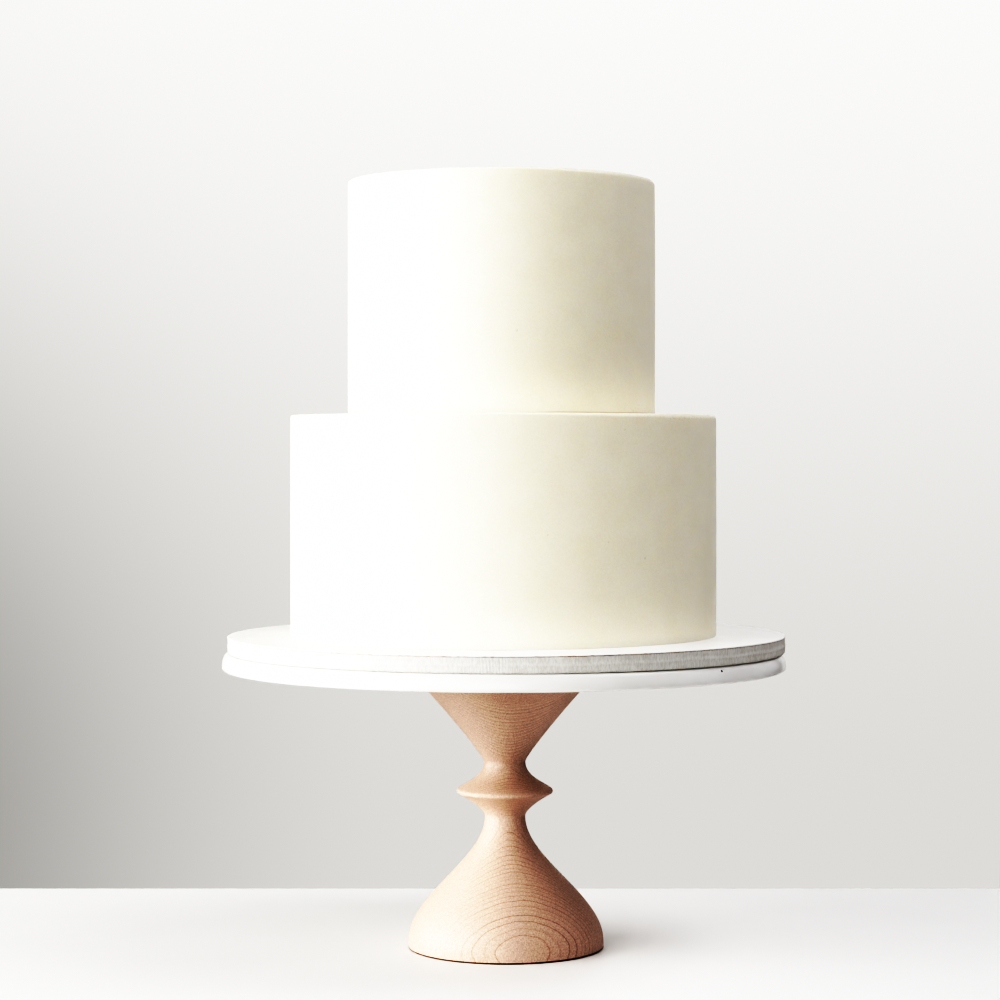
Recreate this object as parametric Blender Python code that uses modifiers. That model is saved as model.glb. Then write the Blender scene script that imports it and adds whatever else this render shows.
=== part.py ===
"""Two-tier wedding cake on a wrapped cake board, a round plate and a turned wooden pedestal.

Metres, +Z up. The origin is the centre of the pedestal's foot, on the table. Every piece is turned
about its own vertical axis, and each one rests on the piece below it.
"""

import math

import bpy

# Heights, from the table up. A piece stands on the one below with a hairline gap between the meshes.
REST_GAP = 0.0003
PEDESTAL_HEIGHT = 0.1257
PLATE_THICKNESS = 0.0075
BOARD_THICKNESS = 0.0072
BOTTOM_TIER_HEIGHT = 0.0990
TOP_TIER_HEIGHT = 0.1051

# Radii. The tiers lean out by a hair towards their tops, as a scraper leaves them.
PLATE_RADIUS = 0.1270
BOARD_RADIUS = 0.1257
BOTTOM_TIER_RADIUS = 0.0960
TOP_TIER_RADIUS = 0.0693
TIER_FLARE = 0.0002

# The board and the tiers were set down by eye, so their axes stand a little off the stand's axis.
BOARD_OFFSET_X = 0.0010
BOTTOM_TIER_OFFSET_X = -0.0002
TOP_TIER_OFFSET_X = -0.0011

# Edges of the icing.
TIER_TOP_ROUNDING = 0.0010
TIER_FOOT_ROUNDING = 0.0005

# The board is two plies under one wrap, with a shallow line where they meet.
BOARD_TOP_ROUNDING = 0.0005
BOARD_FOOT_ROUNDING = 0.0012
PLY_LINE_DEPTH = 0.00035
PLY_LINE_HALF_WIDTH = 0.0007

# The plate's rim is a long curve above its widest line and a short one below it.
RIM_UPPER_WIDTH = 0.0027
RIM_LOWER_RADIUS = 0.0014

# The pedestal: a bell foot, a thin waist, a sharp-edged disc, a second waist and a wide cone.
FOOT_ROUNDING = 0.0006
BELLY_RADIUS = 0.0441
BELLY_HEIGHT = 0.0030
LOW_WAIST_RADIUS = 0.00915
LOW_WAIST_HEIGHT = 0.0590
DISC_RADIUS = 0.0217
DISC_HEIGHT = 0.0705
DISC_EDGE_RADIUS = 0.0018
DISC_UNDER_SLOPE = 26.0
DISC_UPPER_SLOPE = 36.0
HIGH_WAIST_RADIUS = 0.0094
HIGH_WAIST_HEIGHT = 0.0838
CONE_TOP_RADIUS = 0.0434
CONE_LEAN = 45.0
CONE_LIP = 0.0008

# How far each of the pedestal's curves keeps its end direction (the length of its handle).
BELLY_HANDLE = 0.0200
LOW_WAIST_LOWER_HANDLE = 0.0193
LOW_WAIST_UPPER_HANDLE = 0.0036
DISC_UNDER_HANDLE = 0.0025
DISC_UPPER_HANDLE = 0.0052
HIGH_WAIST_LOWER_HANDLE = 0.0068
HIGH_WAIST_UPPER_HANDLE = 0.0025
CONE_HANDLE = 0.0205

# Fineness.
ROUND_STEPS = 96
PEDESTAL_STEPS = 64
FINE_SAMPLES = 160
MAX_TURN = 10.0
MAX_SPAN = 0.0080
ARC_TURN = 22.5
SMALL_ARC_TURN = 45.0
MERGE_DISTANCE = 0.00001
COLLECTION_NAME = "tiered_wedding_cake"


def clear_scene():
    """Removes whatever the file held."""
    for existing in list(bpy.data.objects):
        bpy.data.objects.remove(existing)


def make_material(name, colour, roughness, metallic=0.0):
    """A Principled surface of one colour, given as linear red, green and blue."""
    material = bpy.data.materials.new(name)
    material.use_nodes = True
    shader = material.node_tree.nodes["Principled BSDF"]
    shader.inputs["Base Color"].default_value = (*colour, 1.0)
    shader.inputs["Roughness"].default_value = roughness
    shader.inputs["Metallic"].default_value = metallic
    return material


def arc(centre, width, height, start, end, turn=ARC_TURN):
    """Points (r, z) on an ellipse, from angle start to end in degrees, a turn or less apart."""
    count = max(1, math.ceil(abs(end - start) / turn))
    angles = [math.radians(start + (end - start) * i / count) for i in range(count + 1)]
    return [(centre[0] + width * math.cos(a), centre[1] + height * math.sin(a)) for a in angles]


def cubic(start, leave, arrive, end):
    """Finely spaced points on the cubic curve between start and end with those two handles."""
    points = []
    for i in range(FINE_SAMPLES + 1):
        t = i / FINE_SAMPLES
        weights = ((1 - t) ** 3, 3 * t * (1 - t) ** 2, 3 * t * t * (1 - t), t**3)
        corners = (start, leave, arrive, end)
        points.append(tuple(sum(w * c[k] for w, c in zip(weights, corners)) for k in (0, 1)))
    return points


def thinned(points):
    """Keeps the points that a smooth line needs: one for each MAX_TURN of bend or MAX_SPAN of run."""
    kept = [points[0]]
    heading = None
    for before, here in zip(points, points[1:]):
        direction = math.degrees(math.atan2(here[1] - before[1], here[0] - before[0]))
        heading = direction if heading is None else heading
        turned = abs((direction - heading + 180.0) % 360.0 - 180.0)
        if turned > MAX_TURN or math.dist(kept[-1], here) > MAX_SPAN:
            kept.append(before)
            heading = direction
    return [*kept, points[-1]]


def turned_piece(name, profile, steps, location, material, collection):
    """A solid of revolution. The profile runs from the axis at the top, down the outside, to the axis."""
    mesh = bpy.data.meshes.new(name)
    edges = [(i, i + 1) for i in range(len(profile) - 1)]
    mesh.from_pydata([(r, 0.0, z) for r, z in profile], edges, [])
    mesh.materials.append(material)
    piece = bpy.data.objects.new(name, mesh)
    piece.location = location
    collection.objects.link(piece)
    screw = piece.modifiers.new("Turn", "SCREW")
    screw.axis = "Z"
    screw.angle = math.radians(360.0)
    screw.steps = steps
    screw.render_steps = steps
    screw.use_merge_vertices = True
    screw.merge_threshold = MERGE_DISTANCE
    screw.use_smooth_shade = True
    return piece


def tier_profile(radius, height):
    """A straight-sided tier with a crisp upper edge and a small radius at its foot."""
    top_radius = radius + TIER_FLARE
    top_edge = arc(
        (top_radius - TIER_TOP_ROUNDING, height - TIER_TOP_ROUNDING),
        TIER_TOP_ROUNDING,
        TIER_TOP_ROUNDING,
        90.0,
        0.0,
    )
    foot_edge = arc(
        (radius - TIER_FOOT_ROUNDING, TIER_FOOT_ROUNDING),
        TIER_FOOT_ROUNDING,
        TIER_FOOT_ROUNDING,
        0.0,
        -90.0,
        SMALL_ARC_TURN,
    )
    return [(0.0, height), *top_edge, *foot_edge, (0.0, 0.0)]


def board_profile():
    """Two plies under one wrap: a square upper edge, a line half way down and a rounded lower edge."""
    middle = BOARD_THICKNESS / 2.0
    top_edge = arc(
        (BOARD_RADIUS - BOARD_TOP_ROUNDING, BOARD_THICKNESS - BOARD_TOP_ROUNDING),
        BOARD_TOP_ROUNDING,
        BOARD_TOP_ROUNDING,
        90.0,
        0.0,
        SMALL_ARC_TURN,
    )
    ply_line = [
        (BOARD_RADIUS, middle + PLY_LINE_HALF_WIDTH),
        (BOARD_RADIUS - PLY_LINE_DEPTH, middle),
        (BOARD_RADIUS, middle - PLY_LINE_HALF_WIDTH),
    ]
    foot_edge = arc(
        (BOARD_RADIUS - BOARD_FOOT_ROUNDING, BOARD_FOOT_ROUNDING),
        BOARD_FOOT_ROUNDING,
        BOARD_FOOT_ROUNDING,
        0.0,
        -90.0,
    )
    return [(0.0, BOARD_THICKNESS), *top_edge, *ply_line, *foot_edge, (0.0, 0.0)]


def plate_profile():
    """A flat disc whose rim is a tall quarter-ellipse over a small round."""
    upper_rim = arc(
        (PLATE_RADIUS - RIM_UPPER_WIDTH, RIM_LOWER_RADIUS),
        RIM_UPPER_WIDTH,
        PLATE_THICKNESS - RIM_LOWER_RADIUS,
        90.0,
        0.0,
    )
    lower_rim = arc(
        (PLATE_RADIUS - RIM_LOWER_RADIUS, RIM_LOWER_RADIUS),
        RIM_LOWER_RADIUS,
        RIM_LOWER_RADIUS,
        0.0,
        -90.0,
    )
    return [(0.0, PLATE_THICKNESS), *upper_rim, *lower_rim[1:], (0.0, 0.0)]


def slope_vector(degrees, length):
    """A step of that length which rises by the angle as it runs outwards."""
    return length * math.cos(math.radians(degrees)), length * math.sin(math.radians(degrees))


def disc_edge():
    """The rounded edge of the disc, from its upper flank over to its lower flank."""
    centre = (DISC_RADIUS - DISC_EDGE_RADIUS, DISC_HEIGHT)
    return arc(centre, DISC_EDGE_RADIUS, DISC_EDGE_RADIUS, 90.0 - DISC_UPPER_SLOPE, DISC_UNDER_SLOPE - 90.0)


def pedestal_profile():
    """The turned outline from the top of the cone down to the foot."""
    lip = (CONE_TOP_RADIUS, PEDESTAL_HEIGHT - CONE_LIP)
    cone_run, cone_rise = slope_vector(90.0 - CONE_LEAN, CONE_HANDLE)
    high_waist = (HIGH_WAIST_RADIUS, HIGH_WAIST_HEIGHT)
    low_waist = (LOW_WAIST_RADIUS, LOW_WAIST_HEIGHT)
    belly = (BELLY_RADIUS, BELLY_HEIGHT)
    edge = disc_edge()
    upper_run, upper_rise = slope_vector(DISC_UPPER_SLOPE, DISC_UPPER_HANDLE)
    under_run, under_rise = slope_vector(DISC_UNDER_SLOPE, DISC_UNDER_HANDLE)
    cone = cubic(
        lip,
        (lip[0] - cone_run, lip[1] - cone_rise),
        (high_waist[0], high_waist[1] + HIGH_WAIST_UPPER_HANDLE),
        high_waist,
    )
    upper_flank = cubic(
        high_waist,
        (high_waist[0], high_waist[1] - HIGH_WAIST_LOWER_HANDLE),
        (edge[0][0] - upper_run, edge[0][1] + upper_rise),
        edge[0],
    )
    lower_flank = cubic(
        edge[-1],
        (edge[-1][0] - under_run, edge[-1][1] - under_rise),
        (low_waist[0], low_waist[1] + LOW_WAIST_UPPER_HANDLE),
        low_waist,
    )
    bell = cubic(
        low_waist,
        (low_waist[0], low_waist[1] - LOW_WAIST_LOWER_HANDLE),
        (belly[0], belly[1] + BELLY_HANDLE),
        belly,
    )
    foot_edge = arc(
        (BELLY_RADIUS - FOOT_ROUNDING, FOOT_ROUNDING),
        FOOT_ROUNDING,
        FOOT_ROUNDING,
        0.0,
        -90.0,
        SMALL_ARC_TURN,
    )
    return [
        (0.0, PEDESTAL_HEIGHT),
        (CONE_TOP_RADIUS, PEDESTAL_HEIGHT),
        *thinned(cone + upper_flank[1:]),
        *edge[1:-1],
        *thinned(lower_flank + bell[1:]),
        *foot_edge,
        (0.0, 0.0),
    ]


def main():
    clear_scene()
    collection = bpy.data.collections.new(COLLECTION_NAME)
    bpy.context.scene.collection.children.link(collection)

    icing = make_material("ivory_icing", (0.87, 0.82, 0.69), 0.42)
    wrap = make_material("board_wrap", (0.62, 0.61, 0.58), 0.45)
    lacquer = make_material("white_lacquer", (0.86, 0.86, 0.85), 0.16)
    maple = make_material("maple", (0.66, 0.41, 0.25), 0.40)

    plate_base = PEDESTAL_HEIGHT + REST_GAP
    board_base = plate_base + PLATE_THICKNESS + REST_GAP
    bottom_tier_base = board_base + BOARD_THICKNESS + REST_GAP
    top_tier_base = bottom_tier_base + BOTTOM_TIER_HEIGHT + REST_GAP

    turned_piece(
        "stand_pedestal", pedestal_profile(), PEDESTAL_STEPS, (0.0, 0.0, 0.0), maple, collection
    )
    turned_piece(
        "stand_plate", plate_profile(), ROUND_STEPS, (0.0, 0.0, plate_base), lacquer, collection
    )
    turned_piece(
        "cake_board", board_profile(), ROUND_STEPS, (BOARD_OFFSET_X, 0.0, board_base), wrap, collection
    )
    turned_piece(
        "bottom_tier",
        tier_profile(BOTTOM_TIER_RADIUS, BOTTOM_TIER_HEIGHT),
        ROUND_STEPS,
        (BOTTOM_TIER_OFFSET_X, 0.0, bottom_tier_base),
        icing,
        collection,
    )
    turned_piece(
        "top_tier",
        tier_profile(TOP_TIER_RADIUS, TOP_TIER_HEIGHT),
        ROUND_STEPS,
        (TOP_TIER_OFFSET_X, 0.0, top_tier_base),
        icing,
        collection,
    )


main()
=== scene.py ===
"""Looks for the two-tier wedding cake on its wrapped board, white plate and turned wooden pedestal.

Metres, +Z up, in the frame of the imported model. The front of the cake faces -Y.
"""

import math

import bpy
import numpy as np
from mathutils import Matrix, Vector


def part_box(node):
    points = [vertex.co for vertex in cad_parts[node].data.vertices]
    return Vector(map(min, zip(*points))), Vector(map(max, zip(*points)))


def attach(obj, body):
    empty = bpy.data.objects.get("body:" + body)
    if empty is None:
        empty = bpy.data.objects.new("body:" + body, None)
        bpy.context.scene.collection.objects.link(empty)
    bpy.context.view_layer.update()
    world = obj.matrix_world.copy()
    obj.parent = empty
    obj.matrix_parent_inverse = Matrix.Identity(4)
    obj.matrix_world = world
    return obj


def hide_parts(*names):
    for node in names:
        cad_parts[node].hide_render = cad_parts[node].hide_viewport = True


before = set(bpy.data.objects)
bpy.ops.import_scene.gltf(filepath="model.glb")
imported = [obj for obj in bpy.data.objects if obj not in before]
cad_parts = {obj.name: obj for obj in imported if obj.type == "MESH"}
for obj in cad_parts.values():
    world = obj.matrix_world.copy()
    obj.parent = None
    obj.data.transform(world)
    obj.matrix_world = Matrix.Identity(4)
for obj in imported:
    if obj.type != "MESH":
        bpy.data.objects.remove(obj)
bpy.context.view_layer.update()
MM = 0.001

# The photograph's frame, in its own pixels, and the scale at the stand's axis.
PHOTO_WIDTH_PX = 1000.0
METRES_PER_PX = 0.4527 * MM
FOOT_CENTRE_PX = (504.0, 946.2)
HORIZON_PX = 450.0
CAMERA_DISTANCE = 1.218
SENSOR_WIDTH_MM = 36.0

# The pedestal's turned outline: a radius and a height, or the length of a curve's handle.
BELLY = (44.1 * MM, 3.0 * MM)
BELLY_HANDLE = 20.0 * MM
LOW_WAIST = (9.15 * MM, 59.0 * MM)
LOW_WAIST_HANDLES = (19.3 * MM, 3.6 * MM)
DISC_RADIUS = 21.7 * MM
DISC_HEIGHT = 70.5 * MM
DISC_EDGE_RADIUS = 1.3 * MM
DISC_SLOPES = (26.0, 36.0)
DISC_HANDLES = (2.5 * MM, 5.2 * MM)
HIGH_WAIST = (9.4 * MM, 83.8 * MM)
HIGH_WAIST_HANDLES = (6.8 * MM, 2.5 * MM)
CONE_TOP_RADIUS = 43.4 * MM
CONE_LEAN = 45.0
CONE_LIP = 0.8 * MM
CONE_HANDLE = 20.5 * MM
FOOT_ROUNDING = 0.6 * MM


def smooth_step(value, low, high):
    """0 below low, 1 above high and a smooth rise between them, for numbers or arrays."""
    t = np.clip((value - low) / (high - low), 0.0, 1.0)
    return t * t * (3.0 - 2.0 * t)


def wander(angles, rng, orders, size):
    """A closed random curve round a circle, made of whole-numbered waves, with that rms size."""
    total = np.zeros_like(angles)
    for order in orders:
        total += rng.normal() * np.cos(order * angles) + rng.normal() * np.sin(order * angles)
    return total * size / math.sqrt(len(orders))


def revolved(name, radius, height, angles, centre, material):
    """A closed surface from radius[ring, column] and height[ring, column], with a point at each end."""
    rings, columns = radius.shape
    x = centre[0] + radius * np.cos(angles)
    y = centre[1] + radius * np.sin(angles)
    z = centre[2] + height
    ring_points = np.stack([x, y, z], axis=-1).reshape(-1, 3)
    top = (centre[0], centre[1], centre[2] + height[0].mean())
    bottom = (centre[0], centre[1], centre[2] + height[-1].mean())
    points = np.vstack([ring_points, top, bottom])
    index = np.arange(rings * columns).reshape(rings, columns)
    after = np.roll(index, -1, axis=1)
    quads = np.stack([index[:-1], index[1:], after[1:], after[:-1]], axis=-1).reshape(-1, 4)
    faces = quads.tolist()
    faces += [[rings * columns, a, b] for a, b in zip(index[0].tolist(), after[0].tolist())]
    faces += [[rings * columns + 1, b, a] for a, b in zip(index[-1].tolist(), after[-1].tolist())]
    mesh = bpy.data.meshes.new(name)
    mesh.from_pydata(points.tolist(), [], faces)
    mesh.shade_smooth()
    mesh.materials.append(material)
    piece = bpy.data.objects.new(name, mesh)
    bpy.context.scene.collection.objects.link(piece)
    return piece


def even_angles(columns):
    """Angles of a full turn, counted from +X."""
    return np.arange(columns) * (2.0 * math.pi / columns)


def spun(profile, angles):
    """Radius and height grids of a profile's points: a ring for each point, a column for each angle."""
    radius, height = np.array(profile).T
    columns = np.ones_like(angles)
    return radius[:, None] * columns, height[:, None] * columns


def ridge(distance, width):
    """A bell-shaped rise of 1 at distance 0 that dies off over about that width."""
    return np.exp(-((distance / width) ** 2))


def arc(centre, width, height, start, end, steps):
    """Points (r, z) on an ellipse, from angle start to end in degrees."""
    angles = np.radians(np.linspace(start, end, steps + 1))
    return [(centre[0] + width * math.cos(a), centre[1] + height * math.sin(a)) for a in angles]


def line(start, end, steps):
    """Points (r, z) after the start of a straight run, up to and with its end."""
    return [tuple(s + (e - s) * i / steps for s, e in zip(start, end)) for i in range(1, steps + 1)]


def cubic(start, leave, arrive, end, steps):
    """Points on the cubic curve between start and end with those two handles."""
    points = []
    for i in range(steps + 1):
        t = i / steps
        weights = ((1 - t) ** 3, 3 * t * (1 - t) ** 2, 3 * t * t * (1 - t), t**3)
        corners = (start, leave, arrive, end)
        points.append(tuple(sum(w * c[k] for w, c in zip(weights, corners)) for k in (0, 1)))
    return points


def node(tree, kind, inputs=None, **settings):
    """Adds a node. Each input is a value, or a socket to link from."""
    made = tree.nodes.new(kind)
    for key, value in settings.items():
        setattr(made, key, value)
    for key, value in (inputs or {}).items():
        if isinstance(value, bpy.types.NodeSocket):
            tree.links.new(value, made.inputs[key])
        else:
            made.inputs[key].default_value = value
    return made


def maths(tree, operation, *values):
    """The result of a Math node on numbers or sockets."""
    return node(tree, "ShaderNodeMath", dict(enumerate(values)), operation=operation).outputs[0]


def product(tree, first, *others):
    """The product of numbers or sockets."""
    for other in others:
        first = maths(tree, "MULTIPLY", first, other)
    return first


def weighted(tree, first, first_weight, second, second_weight):
    """The sum of two values, each times its weight."""
    rest = maths(tree, "MULTIPLY", second, second_weight)
    return maths(tree, "MULTIPLY_ADD", first, first_weight, rest)


def ramp(tree, value, low, high, to_low=0.0, to_high=1.0):
    """A clamped smooth remap of a value from low..high to to_low..to_high."""
    inputs = {"Value": value, "From Min": low, "From Max": high, "To Min": to_low, "To Max": to_high}
    return node(tree, "ShaderNodeMapRange", inputs, interpolation_type="SMOOTHSTEP").outputs["Result"]


def ramp_from(tree, value, level, span, to_low=0.0, to_high=1.0):
    """A ramp over a span that is measured from a level."""
    return ramp(tree, value, level + span[0], level + span[1], to_low, to_high)


def blend(tree, factor, first, second):
    """A colour between two colours or colour sockets."""
    made = node(tree, "ShaderNodeMix", data_type="RGBA")
    for socket, value in ((made.inputs[0], factor), (made.inputs[6], first), (made.inputs[7], second)):
        if isinstance(value, bpy.types.NodeSocket):
            tree.links.new(value, socket)
        else:
            socket.default_value = value if socket.type == "VALUE" else (*value, 1.0)
    return made.outputs[2]


def scaled(tree, colour, amount):
    """A colour times a number."""
    made = node(tree, "ShaderNodeVectorMath", {0: colour, "Scale": amount}, operation="SCALE")
    return made.outputs["Vector"]


def distance_to(tree, at, point):
    """How far the coordinates are from a point."""
    made = node(tree, "ShaderNodeVectorMath", {0: at, 1: point}, operation="DISTANCE")
    return made.outputs["Value"]


def across_and_height(tree, at):
    """The coordinates' X and Z."""
    place = node(tree, "ShaderNodeSeparateXYZ", {"Vector": at})
    return place.outputs["X"], place.outputs["Z"]


def noise(tree, coordinates, size, stretch=(1.0, 1.0, 1.0), detail=2.0, roughness=0.5):
    """Fractal noise, 0 to 1 about 0.5, whose features are about size metres before the stretch."""
    scale = tuple(1.0 / (size * s) for s in stretch)
    moved = node(tree, "ShaderNodeMapping", {"Vector": coordinates, "Scale": scale})
    inputs = {"Vector": moved.outputs[0], "Scale": 1.0, "Detail": detail, "Roughness": roughness}
    return node(tree, "ShaderNodeTexNoise", inputs).outputs["Fac"]


def new_material(name):
    """An empty Principled material: its material, tree, shader and object coordinates."""
    material = bpy.data.materials.new(name)
    material.use_nodes = True
    tree = material.node_tree
    coordinates = node(tree, "ShaderNodeTexCoord").outputs["Object"]
    return material, tree, tree.nodes["Principled BSDF"], coordinates


def bump(tree, shader, height, distance, strength=1.0):
    """Drives the shader's normal by a height of 0 to 1 that stands distance metres tall."""
    made = node(tree, "ShaderNodeBump", {"Height": height, "Distance": distance, "Strength": strength})
    tree.links.new(made.outputs[0], shader.inputs["Normal"])


ICING_COLOUR = (0.900, 0.862, 0.752)
ICING_SHADE = (0.878, 0.834, 0.715)
ICING_MOTTLE = (0.34, 0.66)
ICING_ROUGHNESS = (0.40, 0.52)
ICING_SCATTER_WEIGHT = 0.35
ICING_SCATTER_COLOUR = (1.0, 0.82, 0.48)
ICING_SCATTER_REACH = 3.0 * MM
ICING_SHEEN = 0.06
ICING_RELIEF = 0.10 * MM
SUGAR_SIZE = 0.7 * MM
SUGAR_TONES = (0.985, 1.015)

# Pits lie one to a cell; their edge is a share of the cell's size.
PIT_SPACING = 17 * MM
PIT_EDGE = (0.018, 0.040)
PIT_COLOUR = (0.52, 0.44, 0.30)
PIT_STRENGTH = 0.22

# Spans across the cake count from its axis, and spans upwards from the level that they belong to.
# The brownish line at the foot of the upper tier is painted contact shadow, on its right side only; the
# specks over it are marks.
SEAM_SHADOW_COLOUR = (0.46, 0.33, 0.25)
SEAM_SHADOW_STRENGTH = 0.42
SEAM_SHADOW_RISE = 0.62 * MM
SEAM_SHADOW_EDGE = (0.12 * MM, 0.34 * MM)
SEAM_SHADOW_ACROSS = (10 * MM, 26 * MM)
SPECK_COLOUR = (0.50, 0.40, 0.28)
SPECK_SIZE = 0.9 * MM
SEAM_SPECKS = (0.58, 0.68)
SEAM_SPECK_STRENGTH = 0.22
SEAM_SPECK_SPAN = (1 * MM, 7 * MM)
SEAM_SPECK_ACROSS = (46 * MM, 60 * MM)
RIM_SPECKS = (0.60, 0.70)
RIM_SPECK_STRENGTH = 0.30
RIM_SPECK_START = (-4 * MM, -1 * MM)
RIM_SPECK_END = (-0.5 * MM, -0.1 * MM)
RIM_SPECK_ACROSS = (38 * MM, 72 * MM)
# Painted shade on the lower tier's right: just above its foot, and reaching higher at the far right.
FOOT_PAINTED_SHADE = -0.055
FOOT_PAINTED_SHADE_SPAN = (0.0, 4 * MM)
FOOT_PAINTED_SHADE_ACROSS = (10 * MM, 50 * MM)
LOW_RIGHT_PAINTED_SHADE = -0.06
LOW_RIGHT_PAINTED_SHADE_SPAN = (2 * MM, 24 * MM)
LOW_RIGHT_PAINTED_SHADE_ACROSS = (55 * MM, 88 * MM)


def specks(tree, at, cut, strength, *masks):
    """Fine specks where the noise passes the cut, kept to where the masks are."""
    fine = noise(tree, at, SPECK_SIZE, detail=1.0)
    return product(tree, ramp(tree, fine, *cut, 0.0, strength), *masks)


def icing_material(name, seam_z=None, specks_z=None, foot_z=None):
    """Smooth ivory icing: translucent and softly mottled, with scraper streaks and a few pits.

    On the right it can have a brownish line of painted contact shadow just above seam_z with specks over
    it, specks just below specks_z, and painted shade just above foot_z that reaches higher at the far
    right.
    """
    material, tree, shader, at = new_material(name)
    across, height = across_and_height(tree, at)
    cloud = noise(tree, at, 14 * MM, detail=4.0)
    grain = noise(tree, at, 1.1 * MM, detail=3.0, roughness=0.65)
    streak = noise(tree, at, 1.3 * MM, stretch=(40.0, 40.0, 1.0), detail=3.0)
    cells = node(tree, "ShaderNodeTexVoronoi", {"Vector": at, "Scale": 1.0 / PIT_SPACING})
    pit = ramp(tree, cells.outputs["Distance"], *PIT_EDGE, 1.0, 0.0)
    tint = weighted(tree, grain, 0.45, cloud, 0.55)
    colour = blend(tree, ramp(tree, tint, *ICING_MOTTLE), ICING_SHADE, ICING_COLOUR)
    colour = blend(tree, product(tree, pit, PIT_STRENGTH), colour, PIT_COLOUR)
    if seam_z is not None:
        # Painted contact shadow: a thin brownish line just above the ledge, on the right.
        from_line = maths(tree, "ABSOLUTE", maths(tree, "SUBTRACT", height, seam_z + SEAM_SHADOW_RISE))
        seam_shadow = ramp(tree, from_line, *SEAM_SHADOW_EDGE, SEAM_SHADOW_STRENGTH, 0.0)
        seam_shadow = product(tree, seam_shadow, ramp(tree, across, *SEAM_SHADOW_ACROSS))
        colour = blend(tree, seam_shadow, colour, SEAM_SHADOW_COLOUR)
        speck = specks(tree, at, SEAM_SPECKS, SEAM_SPECK_STRENGTH,
                       ramp_from(tree, height, seam_z, SEAM_SPECK_SPAN, 1.0, 0.0),
                       ramp(tree, across, *SEAM_SPECK_ACROSS))
        colour = blend(tree, speck, colour, SPECK_COLOUR)
    if specks_z is not None:
        speck = specks(tree, at, RIM_SPECKS, RIM_SPECK_STRENGTH,
                       ramp_from(tree, height, specks_z, RIM_SPECK_START),
                       ramp_from(tree, height, specks_z, RIM_SPECK_END, 1.0, 0.0),
                       ramp(tree, across, *RIM_SPECK_ACROSS))
        colour = blend(tree, speck, colour, SPECK_COLOUR)
    sugar_and_painted_shade = ramp(tree, noise(tree, at, SUGAR_SIZE, detail=2.0), 0.3, 0.7, *SUGAR_TONES)
    if foot_z is not None:
        # Painted shade, added to the sugar grain's tone: darker just above the foot on the right, and
        # higher up at the far right.
        painted_foot_shade = ramp_from(tree, height, foot_z, FOOT_PAINTED_SHADE_SPAN, FOOT_PAINTED_SHADE, 0.0)
        painted_foot_shade = product(tree, painted_foot_shade, ramp(tree, across, *FOOT_PAINTED_SHADE_ACROSS))
        painted_low_right_shade = ramp_from(tree, height, foot_z, LOW_RIGHT_PAINTED_SHADE_SPAN, LOW_RIGHT_PAINTED_SHADE, 0.0)
        painted_low_right_shade = product(tree, painted_low_right_shade, ramp(tree, across, *LOW_RIGHT_PAINTED_SHADE_ACROSS))
        sugar_and_painted_shade = maths(tree, "ADD", sugar_and_painted_shade, maths(tree, "ADD", painted_foot_shade, painted_low_right_shade))
    tree.links.new(scaled(tree, colour, sugar_and_painted_shade), shader.inputs["Base Color"])
    tree.links.new(ramp(tree, grain, 0.3, 0.7, *ICING_ROUGHNESS), shader.inputs["Roughness"])
    shader.inputs["Subsurface Weight"].default_value = ICING_SCATTER_WEIGHT
    shader.inputs["Subsurface Radius"].default_value = ICING_SCATTER_COLOUR
    shader.inputs["Subsurface Scale"].default_value = ICING_SCATTER_REACH
    shader.inputs["Sheen Weight"].default_value = ICING_SHEEN
    relief = weighted(tree, streak, 0.35, grain, 0.40)
    pocked = maths(tree, "MULTIPLY_ADD", pit, -1.0, relief)
    bump(tree, shader, pocked, ICING_RELIEF, 0.8)
    return material


WRAP_COLOUR = (0.762, 0.750, 0.722)
WRAP_STREAK = (0.635, 0.622, 0.592)
WRAP_ROUGHNESS = (0.42, 0.62)
WRAP_RELIEF = 0.06 * MM
RAW_EDGE_COLOUR = (0.42, 0.31, 0.26)
RAW_EDGE_STRENGTH = 0.62
RAW_EDGE_RAGGED = 0.9 * MM
RAW_EDGE_SPAN = (-0.05 * MM, 0.30 * MM)
RAW_EDGE_ACROSS = (60 * MM, 105 * MM)
RAW_EDGE_ON_RIGHT = 0.35

# The photographed board sits a little higher on the right: by this much, and its foot by a share of it.
BOARD_LIFT = 0.5 * MM
BOARD_LIFT_FROM = -20 * MM
BOARD_LIFT_TO = 110 * MM
BOARD_LIFT_EASE = 15 * MM
BOARD_FOOT_SHARE = 0.3


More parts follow.
